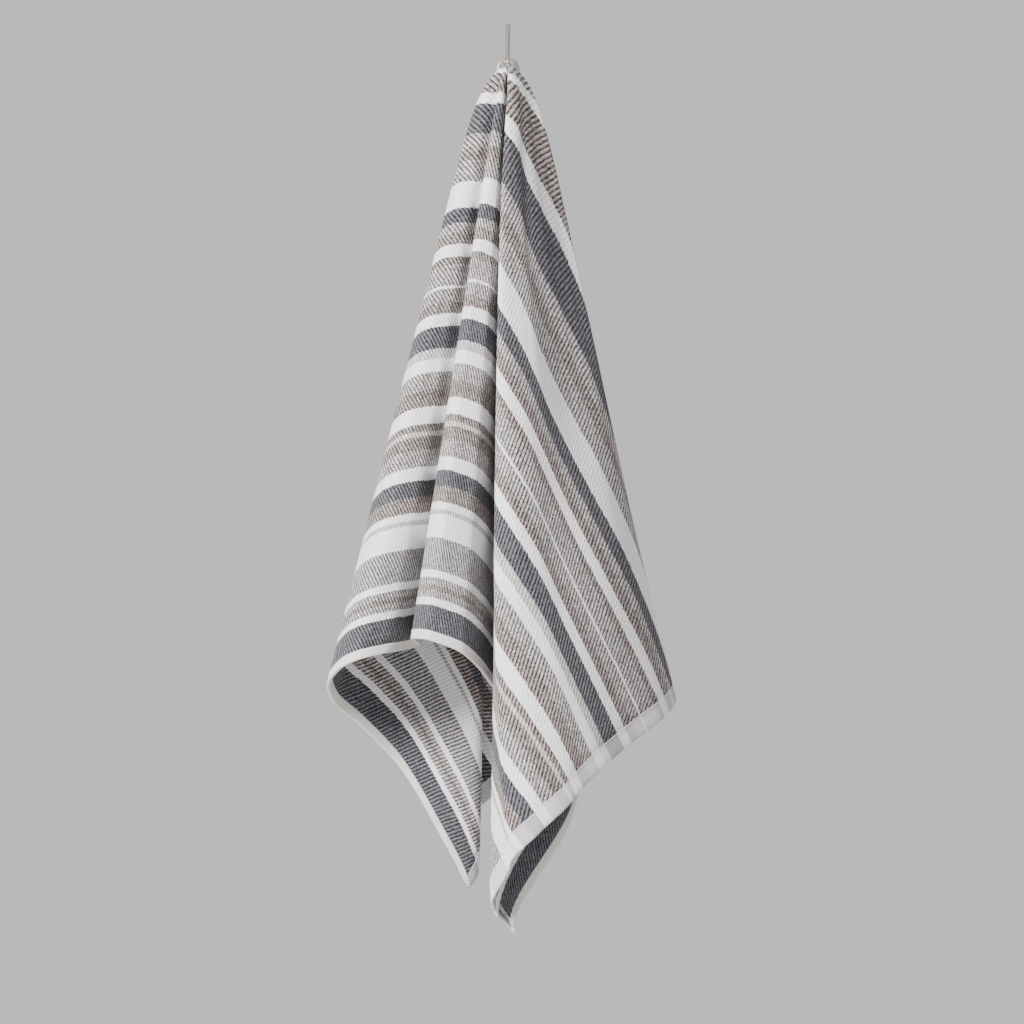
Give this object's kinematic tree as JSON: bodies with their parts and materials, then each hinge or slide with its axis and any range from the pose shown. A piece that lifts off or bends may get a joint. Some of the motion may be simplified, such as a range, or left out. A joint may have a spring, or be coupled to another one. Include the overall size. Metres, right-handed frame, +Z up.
{
  "type": "bath towel set",
  "caption": "Striped terry bath towel hung by one point from a wall hook with an upper and a lower prong.",
  "frame": {"origin": "centre of the wall bracket's back face, on the wall", "axes": "+Z up, +Y into the wall, +X to the right of someone who faces the wall; the room is toward -Y"},
  "size_m": [0.3748, 0.2748, 0.9831],
  "materials": {
    "terry_pile": "striped terry loops in dark grey, white, light grey and brown heather",
    "side_hem_cloth": "cream woven hem",
    "end_hem_cloth": "flat woven hem with paler stripes",
    "sewing_thread": "cotton thread",
    "brushed_nickel": "brushed nickel plate",
    "zinc_bracket": "plain die-cast zinc",
    "screw_steel": "plated steel"
  },
  "bodies": {
    "hook": {"wall_bracket": "zinc_bracket", "wall_screw_left": "screw_steel", "wall_screw_right": "screw_steel", "rosette": "brushed_nickel", "set_screw": "screw_steel", "hook_stem": "brushed_nickel", "upper_prong": "brushed_nickel", "lower_prong": "brushed_nickel"},
    "towel": {"terry_body": "terry_pile", "side_hem_lower": "side_hem_cloth", "side_hem_upper": "side_hem_cloth", "end_hem_left": "end_hem_cloth", "end_hem_right": "end_hem_cloth", "seam_side_lower": "sewing_thread", "seam_side_upper": "sewing_thread", "seam_end_left": "sewing_thread", "seam_end_right": "sewing_thread"}
  },
  "joints": [
    {"name": "towel_lift", "type": "slide", "parent": "hook", "child": "towel", "axis": [0, -0.6, 0.8], "range_m": [0, 0.08]}
  ]
}
